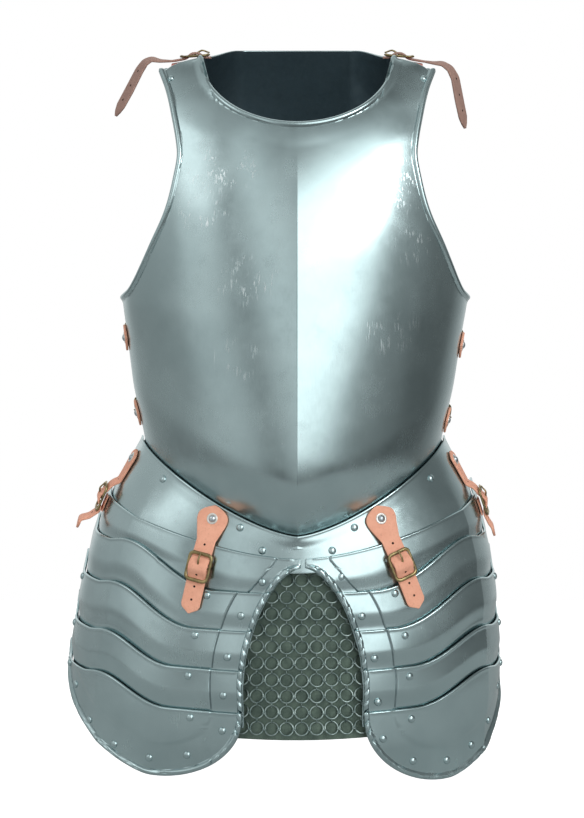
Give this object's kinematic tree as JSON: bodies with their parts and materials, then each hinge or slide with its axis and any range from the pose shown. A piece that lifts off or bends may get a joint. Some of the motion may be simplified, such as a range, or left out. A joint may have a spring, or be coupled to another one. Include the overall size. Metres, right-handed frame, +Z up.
{
  "type": "plate armour cuirass",
  "caption": "Steel breastplate and backplate with flared waist plate, overlapping tasset lames, mail panel and buckled leather straps.",
  "frame": {"origin": "between the shoulders, midway between the front and back plates, at the height where the shoulder leathers rest on the wearer", "axes": "+X to the right seen from the front, +Y from the chest to the back, +Z up"},
  "size_m": [0.4758, 0.3195, 0.7605],
  "materials": {
    "steel": "polished, finely brushed, with scratches",
    "mail": "dark oiled rings over grey-green cloth",
    "brass": "aged",
    "leather": "smooth, pinkish tan",
    "shoulder_leather": "smooth, dull brown"
  },
  "bodies": {
    "root": {"backplate": "steel", "breastplate": "steel", "bridge_left": "shoulder_leather", "bridge_right": "shoulder_leather", "buckle_left_lower": "brass", "buckle_left_upper": "brass", "buckle_right_lower": "brass", "buckle_right_upper": "brass", "buckle_shoulder_left": "brass", "buckle_shoulder_right": "brass", "buckle_tasset_left_front": "brass", "buckle_tasset_left_side": "brass", "buckle_tasset_right_front": "brass", "buckle_tasset_right_side": "brass", "chape_left_lower": "leather", "chape_left_upper": "leather", "chape_right_lower": "leather", "chape_right_upper": "leather", "chape_tasset_left_front": "leather", "chape_tasset_left_side": "leather", "chape_tasset_right_front": "leather", "chape_tasset_right_side": "leather", "culet": "steel", "fauld": "steel", "lining_left_front": "leather", "lining_left_rear": "leather", "lining_right_front": "leather", "lining_right_rear": "leather", "mail_skirt": "mail", "strap_left_lower": "leather", "strap_left_upper": "leather", "strap_right_lower": "leather", "strap_right_upper": "leather", "strap_shoulder_left": "shoulder_leather", "strap_shoulder_right": "shoulder_leather", "strap_tasset_left_front": "leather", "strap_tasset_left_side": "leather", "strap_tasset_right_front": "leather", "strap_tasset_right_side": "leather", "tasset_left_lame_1": "steel", "tasset_left_lame_2": "steel", "tasset_left_lame_3": "steel", "tasset_left_lame_4": "steel", "tasset_left_lame_5": "steel", "tasset_right_lame_1": "steel", "tasset_right_lame_2": "steel", "tasset_right_lame_3": "steel", "tasset_right_lame_4": "steel", "tasset_right_lame_5": "steel"}
  },
  "joints": []
}
